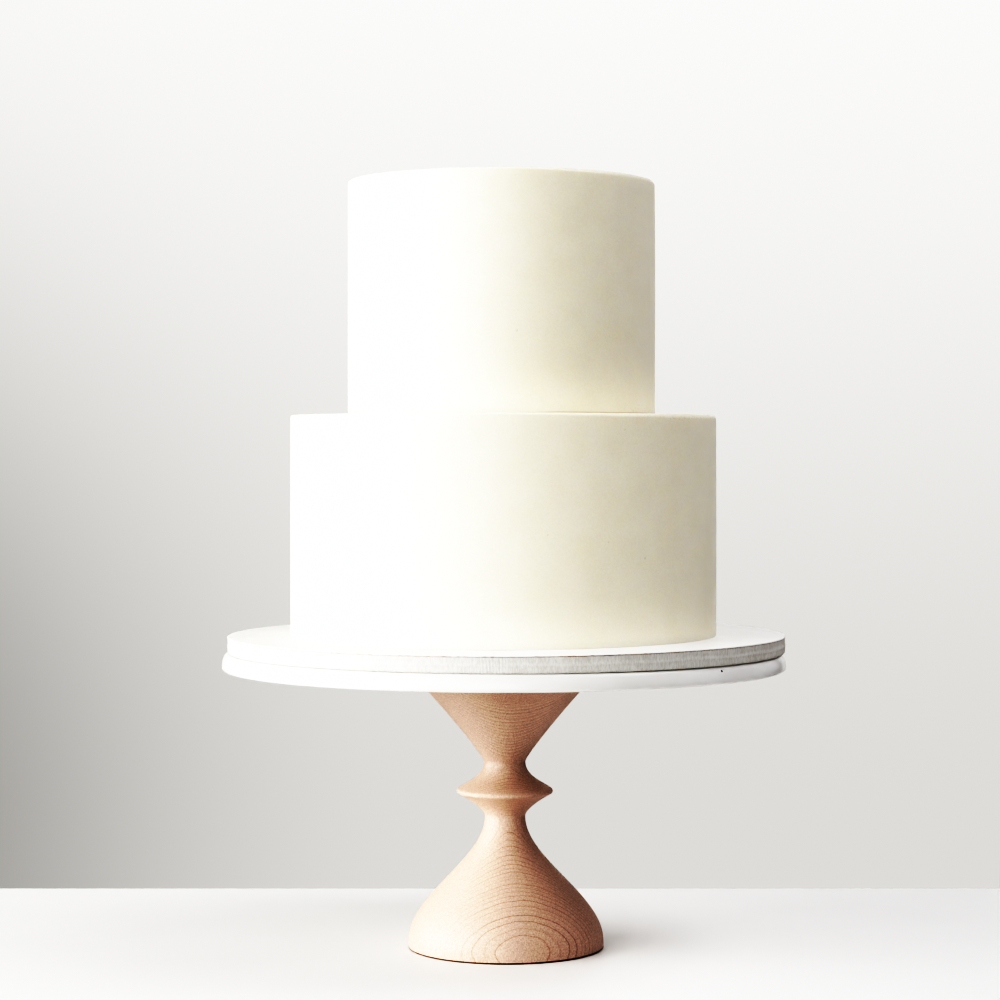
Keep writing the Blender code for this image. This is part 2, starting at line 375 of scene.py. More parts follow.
def wrap_material(top_z):
    """White paper drawn over the board's edge, greyer in fine vertical streaks and soft patches, with a
    raw brown upper edge.
    """
    material, tree, shader, at = new_material("board_wrap")
    across, height = across_and_height(tree, at)
    fibre = noise(tree, at, 0.5 * MM, stretch=(1.0, 1.0, 5.0), detail=4.0, roughness=0.7)
    patch = noise(tree, at, 7 * MM, detail=3.0)
    streaked = ramp(tree, weighted(tree, fibre, 0.8, patch, 0.2), 0.36, 0.64)
    colour = blend(tree, streaked, WRAP_STREAK, WRAP_COLOUR)
    lift_span = (BOARD_LIFT_FROM + BOARD_LIFT_EASE, BOARD_LIFT_TO - BOARD_LIFT_EASE)
    level = maths(tree, "SUBTRACT", height, ramp(tree, across, *lift_span, 0.0, BOARD_LIFT))
    torn = noise(tree, at, 2.2 * MM, detail=4.0, roughness=0.7)
    torn = maths(tree, "MULTIPLY_ADD", torn, RAW_EDGE_RAGGED, level)
    raw = ramp_from(tree, torn, top_z, RAW_EDGE_SPAN, 0.0, RAW_EDGE_STRENGTH)
    raw = product(tree, raw, ramp(tree, across, *RAW_EDGE_ACROSS, 1.0, RAW_EDGE_ON_RIGHT))
    tree.links.new(blend(tree, raw, colour, RAW_EDGE_COLOUR), shader.inputs["Base Color"])
    tree.links.new(ramp(tree, fibre, 0.3, 0.7, *WRAP_ROUGHNESS), shader.inputs["Roughness"])
    bump(tree, shader, fibre, WRAP_RELIEF, 0.6)
    return material


PAPER_COLOUR = (0.94, 0.936, 0.926)
PAPER_SHADE = (0.905, 0.898, 0.885)
PAPER_ROUGHNESS = (0.36, 0.48)
PAPER_RELIEF = 0.03 * MM
SMEAR_PLACE = (97.6 * MM, -8.0 * MM)
SMEAR_REACH = 2.4 * MM
SMEAR_RAGGED = 2.6 * MM
SMEAR_STRENGTH = 0.6


def board_top_material(top_z):
    """The board's white sheet: bright, smooth and faintly flecked, with a smear of icing on the right."""
    material, tree, shader, at = new_material("board_top_paper")
    fleck = noise(tree, at, 0.8 * MM, detail=4.0, roughness=0.7)
    cloud = noise(tree, at, 22 * MM, detail=2.0)
    tone = ramp(tree, weighted(tree, fleck, 0.4, cloud, 0.6), 0.36, 0.64)
    paper = blend(tree, tone, PAPER_SHADE, PAPER_COLOUR)
    away = distance_to(tree, at, (*SMEAR_PLACE, top_z))
    away = maths(tree, "MULTIPLY_ADD", noise(tree, at, 0.8 * MM, detail=2.0), SMEAR_RAGGED, away)
    smear = ramp(tree, away, SMEAR_REACH * 0.8, SMEAR_REACH * 1.2, SMEAR_STRENGTH, 0.0)
    tree.links.new(blend(tree, smear, paper, ICING_SHADE), shader.inputs["Base Color"])
    tree.links.new(ramp(tree, fleck, 0.3, 0.7, *PAPER_ROUGHNESS), shader.inputs["Roughness"])
    bump(tree, shader, fleck, PAPER_RELIEF, 0.6)
    return material


LACQUER_COLOUR = (0.850, 0.842, 0.825)
LACQUER_SHADE = (0.825, 0.815, 0.795)
LACQUER_ROUGHNESS = (0.16, 0.60)
LACQUER_RIPPLE = 0.05 * MM
CHIP_COLOUR = (0.028, 0.020, 0.016)
CHIP_FRAYED = 0.25 * MM


def lacquer_material(chip_centre, chip_radius):
    """Glossy white paint with a slight ripple, and bare dark ground where it is chipped."""
    material, tree, shader, at = new_material("white_lacquer")
    ripple = noise(tree, at, 3.5 * MM, detail=2.0)
    cloud = noise(tree, at, 30 * MM, detail=3.0)
    white = blend(tree, ramp(tree, cloud, 0.35, 0.65), LACQUER_SHADE, LACQUER_COLOUR)
    away = distance_to(tree, at, chip_centre)
    away = maths(tree, "MULTIPLY_ADD", noise(tree, at, CHIP_FRAYED, detail=2.0), CHIP_FRAYED, away)
    bare = ramp(tree, away, chip_radius * 0.85, chip_radius * 1.25, 1.0, 0.0)
    rough = ramp(tree, weighted(tree, bare, 0.5, cloud, 0.3), 0.0, 0.8, *LACQUER_ROUGHNESS)
    tree.links.new(blend(tree, bare, white, CHIP_COLOUR), shader.inputs["Base Color"])
    tree.links.new(rough, shader.inputs["Roughness"])
    bump(tree, shader, ripple, LACQUER_RIPPLE, 0.35)
    return material


# The growth rings run round a leaning pith, behind the pedestal and a little to the left.
PITH_DISTANCE = 90.0 * MM
PITH_TURN = 8.7
PITH_LEAN = 0.105
OUTER_RING = 43.45 * MM
OUTER_RING_SPACING = 1.5 * MM
RINGS_CROWD_IN = 0.0031 / MM**2
RING_UNEVENNESS = 1.4
RING_SWAY = 2.2 * MM
RING_WAVER = 0.55 * MM
PLAIN_AT_DISC_EDGE = (1.1 * MM, 2.2 * MM)
CALM_AT_HIGH_WAIST = (1.5 * MM, 5.0 * MM)


def wood_rings(tree, at):
    """Counts the growth rings inwards from the outermost one, and says how strongly they show."""
    turn = math.radians(PITH_TURN)
    pith = (-PITH_DISTANCE * math.sin(turn), PITH_DISTANCE * math.cos(turn), 0.0)
    from_pith = node(tree, "ShaderNodeVectorMath", {0: at, 1: pith}, operation="SUBTRACT")
    flat_way = {0: from_pith.outputs["Vector"], 1: (1.0, 1.0, 0.0)}
    flat = node(tree, "ShaderNodeVectorMath", flat_way, operation="MULTIPLY")
    length = node(tree, "ShaderNodeVectorMath", {0: flat.outputs["Vector"]}, operation="LENGTH")
    height = across_and_height(tree, at)[1]
    leaned = maths(tree, "MULTIPLY_ADD", height, PITH_LEAN, length.outputs["Value"])
    sway = maths(tree, "SUBTRACT", noise(tree, at, 30 * MM, stretch=(1.0, 1.0, 1.8), detail=2.0), 0.5)
    waver = maths(tree, "SUBTRACT", noise(tree, at, 5 * MM, stretch=(1.0, 1.0, 2.5), detail=3.0), 0.5)
    bent = maths(tree, "MULTIPLY_ADD", sway, RING_SWAY, leaned)
    bent = maths(tree, "MULTIPLY_ADD", waver, RING_WAVER, bent)
    inwards = maths(tree, "SUBTRACT", PITH_DISTANCE + OUTER_RING, bent)
    crowding = maths(tree, "MULTIPLY_ADD", inwards, RINGS_CROWD_IN, 1.0 / OUTER_RING_SPACING)
    rings = product(tree, inwards, crowding)
    drift = {"W": rings, "Scale": 0.31, "Detail": 1.0}
    spread = node(tree, "ShaderNodeTexNoise", drift, noise_dimensions="1D")
    uneven = maths(tree, "SUBTRACT", spread.outputs["Fac"], 0.5)
    rings = maths(tree, "MULTIPLY_ADD", uneven, RING_UNEVENNESS, rings)
    inside = ramp(tree, inwards, -0.5 * MM, -0.2 * MM)
    from_edge = maths(tree, "ABSOLUTE", maths(tree, "SUBTRACT", height, DISC_HEIGHT))
    from_waist = maths(tree, "ABSOLUTE", maths(tree, "SUBTRACT", height, HIGH_WAIST[1]))
    calm = product(tree, ramp(tree, from_edge, *PLAIN_AT_DISC_EDGE),
                   ramp(tree, from_waist, *CALM_AT_HIGH_WAIST, 0.15, 1.0))
    return rings, product(tree, inside, calm)


# WOOD_PALE and WOOD_DEEP are the ends of a blend that is mostly painted light from the left and below,
# with some random cloud.
WOOD_PALE = (0.645, 0.510, 0.428)
WOOD_DEEP = (0.540, 0.422, 0.368)
WOOD_LINE = (0.390, 0.268, 0.205)
WOOD_LIGHT_LINE = (0.600, 0.495, 0.430)
WOOD_ROUGHNESS = (0.42, 0.55)
WOOD_RELIEF = 0.06 * MM

# Heights over which the cone takes over from the bell, and the painted light and shade across and up the
# wood: lighter with washed-out lines on the left, lighter low down, and darker across the cone's left and
# middle but lighter at its right.
UPPER_WOOD = (68 * MM, 95 * MM)
LINES_WASHED_OUT_LEFT = (-26 * MM, 0.0)
PAINTED_LIGHT_LEFT = (-12 * MM, 14 * MM)
PAINTED_LIGHT_LEFT_ENDS = (72 * MM, 86 * MM)
PAINTED_LIGHT_BELOW = (50 * MM, 75 * MM)
CONE_PAINTED_SHADE_ACROSS = (-2 * MM, 26 * MM)
# Painted contact shadow: a near-black band round the lowest part of the foot.
FOOT_SHADOW_COLOUR = (0.060, 0.035, 0.022)
FOOT_SHADOW_STRENGTH = 0.85
FOOT_SHADOW_TOP = 0.75 * MM


def ring_lines(tree, at, across, upper):
    """The dark line and the light band of every growth ring, both as masks."""
    rings, shown = wood_rings(tree, at)
    phase = maths(tree, "FRACT", rings)
    ring_index = maths(tree, "FLOOR", rings)
    chance = node(tree, "ShaderNodeTexWhiteNoise", {"W": ring_index}, noise_dimensions="1D")
    # The dark lines fade on the lit left: painted highlight.
    dark = product(tree, ramp(tree, phase, 0.0, 0.04), ramp(tree, phase, 0.06, 0.22, 1.0, 0.0),
                   ramp(tree, chance.outputs["Value"], 0.0, 1.0, 0.30, 0.85), shown,
                   ramp(tree, across, *LINES_WASHED_OUT_LEFT, 0.30, 1.0),
                   maths(tree, "MULTIPLY_ADD", upper, -0.45, 1.0))
    light = product(tree, ramp(tree, phase, 0.45, 0.62), ramp(tree, phase, 0.75, 0.95, 1.0, 0.0),
                    maths(tree, "MULTIPLY_ADD", upper, 0.65, 0.20), shown)
    return dark, light


def wood_material():
    """Pale close-grained wood: thin ring lines over a fine speckle, with painted light that makes it
    lighter on the left and low down and washes its lines out on the left, painted light and shade across
    the cone, and a painted contact shadow at the foot.
    """
    material, tree, shader, at = new_material("maple")
    across, height = across_and_height(tree, at)
    upper = ramp(tree, height, *UPPER_WOOD)
    dark_line, light_line = ring_lines(tree, at, across, upper)
    cloud = noise(tree, at, 16 * MM, stretch=(1.0, 1.0, 3.0), detail=3.0)
    fibre = noise(tree, at, 0.42 * MM, stretch=(1.0, 1.0, 6.0), detail=3.0, roughness=0.6)
    grain = noise(tree, at, 0.45 * MM, stretch=(1.0, 1.0, 1.5), detail=2.0, roughness=0.6)
    # Painted light: lighter on the left and deeper on the right, and lighter low down; the cloud adds
    # random tone.
    painted_light_and_cloud = product(tree, ramp(tree, across, *PAINTED_LIGHT_LEFT, 0.5, -0.4),
                    ramp(tree, height, *PAINTED_LIGHT_LEFT_ENDS, 1.0, 0.15))
    painted_light_and_cloud = maths(tree, "ADD", painted_light_and_cloud, ramp(tree, height, *PAINTED_LIGHT_BELOW, 0.25, 0.02))
    painted_light_and_cloud = maths(tree, "MULTIPLY_ADD", cloud, 0.4, painted_light_and_cloud)
    body = blend(tree, ramp(tree, painted_light_and_cloud, 0.0, 1.0), WOOD_DEEP, WOOD_PALE)
    body = blend(tree, light_line, body, WOOD_LIGHT_LINE)
    body = blend(tree, dark_line, body, WOOD_LINE)
    speckle = maths(tree, "MULTIPLY_ADD", fibre, -0.10, ramp(tree, grain, 0.28, 0.72, 0.87, 1.23))
    # Painted light and shade on the cone: darker across its left and middle, lighter at its right.
    cone_painted_shade = product(tree, upper, ramp(tree, across, *CONE_PAINTED_SHADE_ACROSS, -0.10, 0.07))
    speckled = scaled(tree, body, maths(tree, "ADD", speckle, cone_painted_shade))
    # Painted contact shadow at the foot.
    foot_shadow = ramp(tree, height, FOOT_SHADOW_TOP * 0.8, FOOT_SHADOW_TOP * 1.1, FOOT_SHADOW_STRENGTH, 0.0)
    tree.links.new(blend(tree, foot_shadow, speckled, FOOT_SHADOW_COLOUR), shader.inputs["Base Color"])
    tree.links.new(ramp(tree, fibre, 0.3, 0.7, *WOOD_ROUGHNESS), shader.inputs["Roughness"])
    relief = weighted(tree, dark_line, -0.5, grain, 0.6)
    bump(tree, shader, relief, WOOD_RELIEF, 0.6)
    return material


def ride_for(piece, cad_node):
    """The piece stands for a CAD node and moves with the one body."""
    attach(piece, "root")
    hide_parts(cad_node)
    return piece


TIER_COLUMNS = 480
TIER_SIDE_ROWS = 96
TIER_INSET = 0.1 * MM
TIER_TOP_ROUNDING = 0.9 * MM
TIER_RIM_WEAR = 1.1 * MM
TIER_FOOT_ROUNDING = 0.15 * MM
TIER_BROAD_WAVES = 0.10 * MM
TIER_DRIFT = 0.05 * MM
TIER_BOW = 0.12 * MM
TIER_DISH = 0.25 * MM
SCRAPE_DEPTH = 0.055 * MM
SCRAPE_WIDTH = 0.45 * MM
RIM_RAGGED = 0.055 * MM
RIM_DENTS = 0.05 * MM
RIM_NICKS = 0.22 * MM

# Each piece reaches down this far, to the one that it stands on.
REST_GAP = 0.3 * MM


def make_tier(name, cad_node, material, seed, scrape_heights):
    """A tier of icing: a crisp, slightly uneven rim over a hand-smoothed, nearly straight side."""
    rng = np.random.default_rng(seed)
    low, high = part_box(cad_node)
    centre = ((low.x + high.x) / 2.0, (low.y + high.y) / 2.0, low.z - REST_GAP)
    radius = (high.x - low.x) / 2.0 - TIER_INSET
    height = high.z - low.z + REST_GAP
    angles = even_angles(TIER_COLUMNS)
    worn = smooth_step(np.cos(angles), -0.1, 0.9)
    top_rounding = TIER_TOP_ROUNDING + worn * TIER_RIM_WEAR
    side_top = height - top_rounding
    rows = [(radius * share, height) for share in (0.1, 0.3, 0.5, 0.7, 0.85, 0.95)]
    for turn in np.radians(np.linspace(90.0, 0.0, 9)):
        inwards, upwards = 1.0 - math.cos(turn), math.sin(turn)
        rows.append((radius - top_rounding * inwards, side_top + top_rounding * upwards))
    for step in range(1, TIER_SIDE_ROWS + 1):
        rows.append((radius, side_top + (TIER_FOOT_ROUNDING - side_top) * step / TIER_SIDE_ROWS))
    rows += arc((radius - TIER_FOOT_ROUNDING, TIER_FOOT_ROUNDING),
                TIER_FOOT_ROUNDING, TIER_FOOT_ROUNDING, 0.0, -90.0, 4)[1:]
    rows.append((radius * 0.5, 0.0))
    r = np.array([row[0] * np.ones_like(angles) for row in rows])
    z = np.array([row[1] * np.ones_like(angles) for row in rows])
    up = z / height
    on_side = smooth_step(r, radius * 0.90, radius * 0.985)
    near_rim = smooth_step(up, 0.955, 0.995) * on_side
    broad = wander(angles, rng, range(2, 7), TIER_BROAD_WAVES) * (0.4 + 0.6 * up)
    bow = TIER_BOW * np.sin(math.pi * up)
    drift = wander(angles, rng, range(3, 14), TIER_DRIFT) * np.sin(2.0 * math.pi * up + 1.1)
    r += on_side * (broad + drift + bow - TIER_BOW)
    for share in scrape_heights:
        along = smooth_step(wander(angles, rng, range(1, 9), 1.0), -0.4, 0.9)
        track = share + wander(angles, rng, range(1, 5), 0.0012)
        r -= on_side * along * SCRAPE_DEPTH * ridge((up - track) * height, SCRAPE_WIDTH)
    ragged = wander(angles, rng, range(9, 60, 2), RIM_RAGGED)
    nicked = np.maximum(wander(angles, rng, range(20, 110, 3), 1.0) - 1.7, 0.0) * RIM_NICKS
    z -= near_rim * np.abs(ragged + nicked)
    r -= near_rim * np.abs(wander(angles, rng, range(9, 70, 2), RIM_DENTS) + 0.5 * nicked)
    z -= TIER_DISH * (1.0 - smooth_step(r, radius * 0.6, radius * 0.97)) * smooth_step(up, 0.98, 1.0)
    piece = revolved(name, r, z, angles, centre, material)
    return ride_for(piece, cad_node)


BOARD_SEED = 11
BOARD_COLUMNS = 2880
BOARD_INSET = 0.12 * MM
BOARD_TOP_ROUNDING = 0.35 * MM
BOARD_FOOT_ROUNDING = 1.2 * MM
BOARD_DRIFT = 0.06 * MM
PLEAT_PITCH = 1.15 * MM
PLEAT_DEPTH = 0.10 * MM
PLY_HEIGHT = 0.48
PLY_RIDGE = (0.16 * MM, 0.55 * MM)
PLY_GROOVE = (0.10 * MM, 0.75 * MM)
PLY_GROOVE_ABOVE = 0.17
SHEET_COLUMNS = 1440
BOARD_SHEET_THICKNESS = 0.45 * MM
SHEET_GAP = 0.02 * MM
SHEET_ROUNDING = 0.40 * MM
SHEET_UNDERCUT = 0.10 * MM
SHEET_TRIM = 0.05 * MM
SHEET_RAGGED = 0.10 * MM
SHEET_RAGGED_MOST = 0.25 * MM


def board_lift(r, angles):
    """How much higher than the solid the board sits on the right."""
    return BOARD_LIFT * smooth_step(r * np.cos(angles), BOARD_LIFT_FROM, BOARD_LIFT_TO)


def make_board(wrap, paper):
    """The wrapped board: a pleated edge with a ply line, and a trimmed white sheet on top."""
    rng = np.random.default_rng(BOARD_SEED)
    low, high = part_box("cake_board")
    centre = ((low.x + high.x) / 2.0, (low.y + high.y) / 2.0, low.z - REST_GAP)
    radius = (high.x - low.x) / 2.0
    height = high.z - low.z + REST_GAP - BOARD_SHEET_THICKNESS
    angles = even_angles(BOARD_COLUMNS)
    outer = radius - BOARD_INSET
    rim, foot = BOARD_TOP_ROUNDING, BOARD_FOOT_ROUNDING
    profile = [(outer * 0.6, height), (outer * 0.97, height)]
    profile += arc((outer - rim, height - rim), rim, rim, 90.0, 0.0, 3)
    profile += line(profile[-1], (outer, foot), 12)
    profile += arc((outer - foot, foot), foot, foot, 0.0, -90.0, 5)[1:]
    profile += [(outer * 0.6, 0.0)]
    r, z = spun(profile, angles)
    on_edge = smooth_step(r, outer * 0.975, outer * 0.995)
    up = z / height
    pleat_count = 2.0 * math.pi * radius / PLEAT_PITCH
    phase = pleat_count * angles + wander(angles, rng, range(3, 90, 4), 2.2)
    lean = wander(angles, rng, range(5, 60, 5), 1.2)
    depth = 0.5 + 0.5 * smooth_step(wander(angles, rng, range(7, 120, 6), 1.0), -1.0, 1.2)
    fold = 0.5 - 0.5 * np.cos(phase + lean * (up - 0.5) * 3.0)
    r -= on_edge * depth * PLEAT_DEPTH * fold**1.5 * (1.05 - 0.45 * smooth_step(up, 0.75, 1.0))
    ply = PLY_HEIGHT + wander(angles, rng, range(2, 30, 3), 0.012)
    r += on_edge * PLY_RIDGE[0] * ridge((up - ply) * height, PLY_RIDGE[1])
    r -= on_edge * PLY_GROOVE[0] * ridge((up - ply - PLY_GROOVE_ABOVE) * height, PLY_GROOVE[1])
    r -= on_edge * np.abs(wander(angles, rng, range(2, 9), BOARD_DRIFT))
    z += (BOARD_FOOT_SHARE + (1.0 - BOARD_FOOT_SHARE) * up) * board_lift(r, angles)
    base = revolved("board_wrap", r, z, angles, centre, wrap)
    ride_for(base, "cake_board")

    sheet_base = height + SHEET_GAP
    sheet_top = high.z - low.z + REST_GAP
    rim = SHEET_ROUNDING
    angles = even_angles(SHEET_COLUMNS)
    profile = [(radius * share, sheet_top) for share in (0.2, 0.6, 0.85, 0.97)]
    profile += arc((radius - rim, sheet_top - rim), rim, rim, 90.0, 0.0, 5)
    profile += [(radius - SHEET_UNDERCUT, sheet_base), (radius * 0.9, sheet_base)]
    r, z = spun(profile, angles)
    trimmed = wander(angles, rng, range(20, 240, 6), SHEET_TRIM)
    r -= smooth_step(r, radius * 0.985, radius * 0.998) * np.abs(trimmed)
    ragged = np.maximum(wander(angles, rng, range(30, 330, 8), 1.0), 0.0) * SHEET_RAGGED
    under = np.zeros((len(profile), 1))
    under[-3:-1] = 1.0
    z += under * np.minimum(ragged, SHEET_RAGGED_MOST)
    z += board_lift(r, angles)
    sheet = revolved("board_top_sheet", r, z, angles, centre, paper)
    ride_for(sheet, "cake_board")


PLATE_COLUMNS = 480
PLATE_RIM_WIDTH = 2.7 * MM
PLATE_FOOT_RADIUS = 1.4 * MM

# The chip: its place, its size, the finer columns round it and the relief of its edge.
CHIP_ANGLE = -43.5
CHIP_HEIGHT = 5.75 * MM
CHIP_RADIUS = 0.62 * MM
CHIP_COLUMNS = 41
CHIP_COLUMNS_REACH = 1.6 * MM
CHIP_CLEARING = 1.9 * MM
CHIP_DEPTH = 0.22 * MM
CHIP_LIP = (0.03 * MM, 0.25 * MM)
FAR_FROM_CHIP = 1.0


def plate_rim_point(radius, height, at_height):
    """The rim's radius at a height above the plate's foot."""
    rise = (at_height - PLATE_FOOT_RADIUS) / (height - PLATE_FOOT_RADIUS)
    return radius - PLATE_RIM_WIDTH + PLATE_RIM_WIDTH * math.sqrt(max(0.0, 1.0 - rise * rise))


def make_plate():
    """The white plate, with a rim of two curves and a small chip in its paint."""
    low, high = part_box("stand_plate")
    centre = (0.0, 0.0, low.z)
    radius = (high.x - low.x) / 2.0
    height = high.z - low.z
    chip_angle = math.radians(CHIP_ANGLE)
    chip_r = plate_rim_point(radius, height, CHIP_HEIGHT)
    chip = (chip_r * math.cos(chip_angle), chip_r * math.sin(chip_angle), low.z + CHIP_HEIGHT)
    coarse = even_angles(PLATE_COLUMNS)
    reach = CHIP_COLUMNS_REACH / radius
    fine = (chip_angle + np.linspace(-reach, reach, CHIP_COLUMNS)) % (2.0 * math.pi)
    middle = fine[CHIP_COLUMNS // 2]
    keep = np.abs((coarse - middle + math.pi) % (2.0 * math.pi) - math.pi) > CHIP_CLEARING / radius
    angles = np.sort(np.concatenate([coarse[keep], fine]))
    foot = PLATE_FOOT_RADIUS
    profile = [(radius * share, height) for share in (0.3, 0.7, 0.95)]
    profile += arc((radius - PLATE_RIM_WIDTH, foot), PLATE_RIM_WIDTH, height - foot, 90.0, 0.0, 44)
    profile += arc((radius - foot, foot), foot, foot, 0.0, -90.0, 14)[1:]
    profile += [(radius * 0.5, 0.0)]
    r, z = spun(profile, angles)
    across = (angles - chip_angle + math.pi) % (2.0 * math.pi) - math.pi
    away = np.hypot(across * radius, z - CHIP_HEIGHT)
    away = np.where(r > radius * 0.9, away, FAR_FROM_CHIP)
    r -= CHIP_DEPTH * (1.0 - smooth_step(away, CHIP_RADIUS * 0.6, CHIP_RADIUS * 1.15))
    r += CHIP_LIP[0] * ridge(away - CHIP_RADIUS * 1.7, CHIP_LIP[1])
    r = np.minimum(r, radius)
    piece = revolved("plate_lacquer", r, z, angles, centre, lacquer_material(chip, CHIP_RADIUS))
    return ride_for(piece, "stand_plate")


PEDESTAL_COLUMNS = 256

# The photographed stand leans to the left by this slope, so its foot sits right of the plate's centre.
PEDESTAL_LEAN = 0.0072


def slope_vector(degrees, length):
    """A step of that length which rises by the angle as it runs outwards."""
    return length * math.cos(math.radians(degrees)), length * math.sin(math.radians(degrees))


def make_pedestal(material):
    """The turned pedestal at full smoothness, with its slight lean."""
    low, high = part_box("stand_pedestal")
    height = high.z - low.z
    lip = (CONE_TOP_RADIUS, height - CONE_LIP)
    cone_run, cone_rise = slope_vector(90.0 - CONE_LEAN, CONE_HANDLE)
    edge = arc((DISC_RADIUS - DISC_EDGE_RADIUS, DISC_HEIGHT), DISC_EDGE_RADIUS, DISC_EDGE_RADIUS,
               90.0 - DISC_SLOPES[1], DISC_SLOPES[0] - 90.0, 14)
    upper_run, upper_rise = slope_vector(DISC_SLOPES[1], DISC_HANDLES[1])
    under_run, under_rise = slope_vector(DISC_SLOPES[0], DISC_HANDLES[0])
    cone = cubic(lip, (lip[0] - cone_run, lip[1] - cone_rise),
                 (HIGH_WAIST[0], HIGH_WAIST[1] + HIGH_WAIST_HANDLES[1]), HIGH_WAIST, 60)
    upper_flank = cubic(HIGH_WAIST, (HIGH_WAIST[0], HIGH_WAIST[1] - HIGH_WAIST_HANDLES[0]),
                        (edge[0][0] - upper_run, edge[0][1] + upper_rise), edge[0], 32)
    lower_flank = cubic(edge[-1], (edge[-1][0] - under_run, edge[-1][1] - under_rise),
                        (LOW_WAIST[0], LOW_WAIST[1] + LOW_WAIST_HANDLES[1]), LOW_WAIST, 28)
    bell = cubic(LOW_WAIST, (LOW_WAIST[0], LOW_WAIST[1] - LOW_WAIST_HANDLES[0]),
                 (BELLY[0], BELLY[1] + BELLY_HANDLE), BELLY, 90)
    foot = arc((BELLY[0] - FOOT_ROUNDING, FOOT_ROUNDING), FOOT_ROUNDING, FOOT_ROUNDING, 0.0, -90.0, 5)
    profile = [(CONE_TOP_RADIUS * 0.5, height + REST_GAP), (CONE_TOP_RADIUS, height + REST_GAP)]
    profile += cone + upper_flank[1:] + edge[1:-1] + lower_flank + bell[1:] + foot
    profile += [(BELLY[0] * 0.5, 0.0)]
    angles = even_angles(PEDESTAL_COLUMNS)
    r, z = spun(profile, angles)
    piece = revolved("pedestal_wood", r, z, angles, (0.0, 0.0, low.z), material)
    lean = Matrix.Identity(4)
    lean[0][2] = -PEDESTAL_LEAN
    lean[0][3] = PEDESTAL_LEAN * high.z
    piece.data.transform(lean)
    return ride_for(piece, "stand_pedestal")


FLOOR_COLOUR = (0.94, 0.936, 0.93)
FLOOR_SHADE = (0.895, 0.892, 0.884)
FLOOR_ROUGHNESS = 0.45
FLOOR_HALF_WIDTH = 0.30
FLOOR_FRONT = -0.32
FLOOR_BACK = 0.160
FLOOR_THICKNESS = 0.03
# The wall glows; its darker lower part, darkest at the lower left, is painted shade.
WALL_RISE = (-0.60, 1.30)
WALL_ACROSS = (-1.30, -0.07)
WALL_LOW_LEFT = (0.196, 0.190, 0.185)
WALL_LOW_RIGHT = (0.500, 0.494, 0.482)
WALL_TOP = (0.88, 0.875, 0.86)
WALL_CENTRE = (0.0, 2.4, 0.3)
WALL_SIZE = (2.6, 2.4)


def make_stage():
    """A plain pale floor with a back edge, and a glowing pale wall with painted shade that darkens it
    towards its lower left.
    """
    material, tree, shader, at = new_material("pale_floor")
    soft = noise(tree, at, 120 * MM, detail=2.0)
    tree.links.new(blend(tree, soft, FLOOR_SHADE, FLOOR_COLOUR), shader.inputs["Base Color"])
    shader.inputs["Roughness"].default_value = FLOOR_ROUGHNESS
    bpy.ops.mesh.primitive_cube_add(size=1.0)
    floor = bpy.context.object
    floor.name = "floor"
    floor.scale = (2.0 * FLOOR_HALF_WIDTH, FLOOR_BACK - FLOOR_FRONT, FLOOR_THICKNESS)
    floor.location = (0.0, (FLOOR_BACK + FLOOR_FRONT) / 2.0, -FLOOR_THICKNESS / 2.0)
    floor.data.materials.append(material)

    wall_glow = bpy.data.materials.new("glowing_wall")
    wall_glow.use_nodes = True
    tree = wall_glow.node_tree
    tree.nodes.clear()
    at = node(tree, "ShaderNodeTexCoord").outputs["Object"]
    place = node(tree, "ShaderNodeSeparateXYZ", {"Vector": at})
    rise = ramp(tree, place.outputs["Y"], *WALL_RISE)
    across = ramp(tree, place.outputs["X"], *WALL_ACROSS)
    low_tone = blend(tree, across, WALL_LOW_LEFT, WALL_LOW_RIGHT)
    tone = blend(tree, rise, low_tone, WALL_TOP)
    glow = node(tree, "ShaderNodeEmission", {"Color": tone, "Strength": 1.0})
    output = node(tree, "ShaderNodeOutputMaterial")
    tree.links.new(glow.outputs[0], output.inputs["Surface"])
    bpy.ops.mesh.primitive_plane_add(size=1.0)
    wall = bpy.context.object
    wall.name = "backdrop"
    wall.data.materials.append(wall_glow)
    wall.data.transform(Matrix.Diagonal((*WALL_SIZE, 1.0, 1.0)))
    wall.rotation_euler = (math.radians(90.0), 0.0, 0.0)
    wall.location = WALL_CENTRE


def area_light(name, location, target, size, power, colour):
    """A soft rectangular light that faces a point."""
    data = bpy.data.lights.new(name, "AREA")
    data.shape = "RECTANGLE"
    data.size, data.size_y = size
    data.energy = power
    data.color = colour
    lamp = bpy.data.objects.new(name, data)
    lamp.location = location
    lamp.rotation_euler = (Vector(target) - Vector(location)).to_track_quat("-Z", "Y").to_euler()
    bpy.context.scene.collection.objects.link(lamp)
    return lamp


